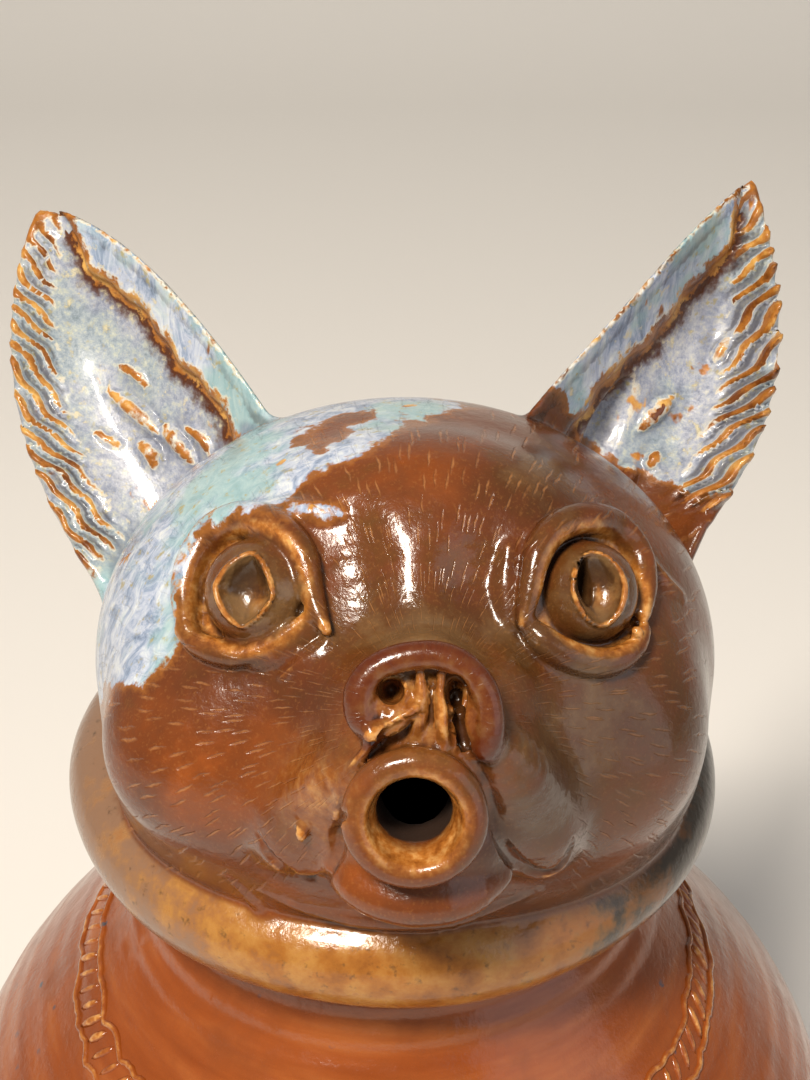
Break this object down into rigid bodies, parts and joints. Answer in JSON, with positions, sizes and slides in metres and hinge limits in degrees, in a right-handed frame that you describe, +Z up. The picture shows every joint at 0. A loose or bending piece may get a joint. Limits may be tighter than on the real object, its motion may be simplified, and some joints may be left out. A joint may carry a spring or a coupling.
{
  "type": "dog head pitcher",
  "caption": "Salt-glazed stoneware pitcher: a round jug with a rolled collar and a modelled dog's head whose open round mouth is the spout.",
  "frame": {"origin": "centre of the flat underside of the foot", "axes": "+Z up the jug, -Y the way the face and the spout look, +Y towards the handle, +X at the viewer's right"},
  "size_m": [0.1716, 0.2011, 0.256],
  "materials": {
    "stoneware_glaze": "glossy salt-glazed brown stoneware, with a pale blue ash glaze run over the ears and the side of the head"
  },
  "bodies": {
    "root": {"pitcher": "stoneware_glaze"}
  },
  "joints": []
}
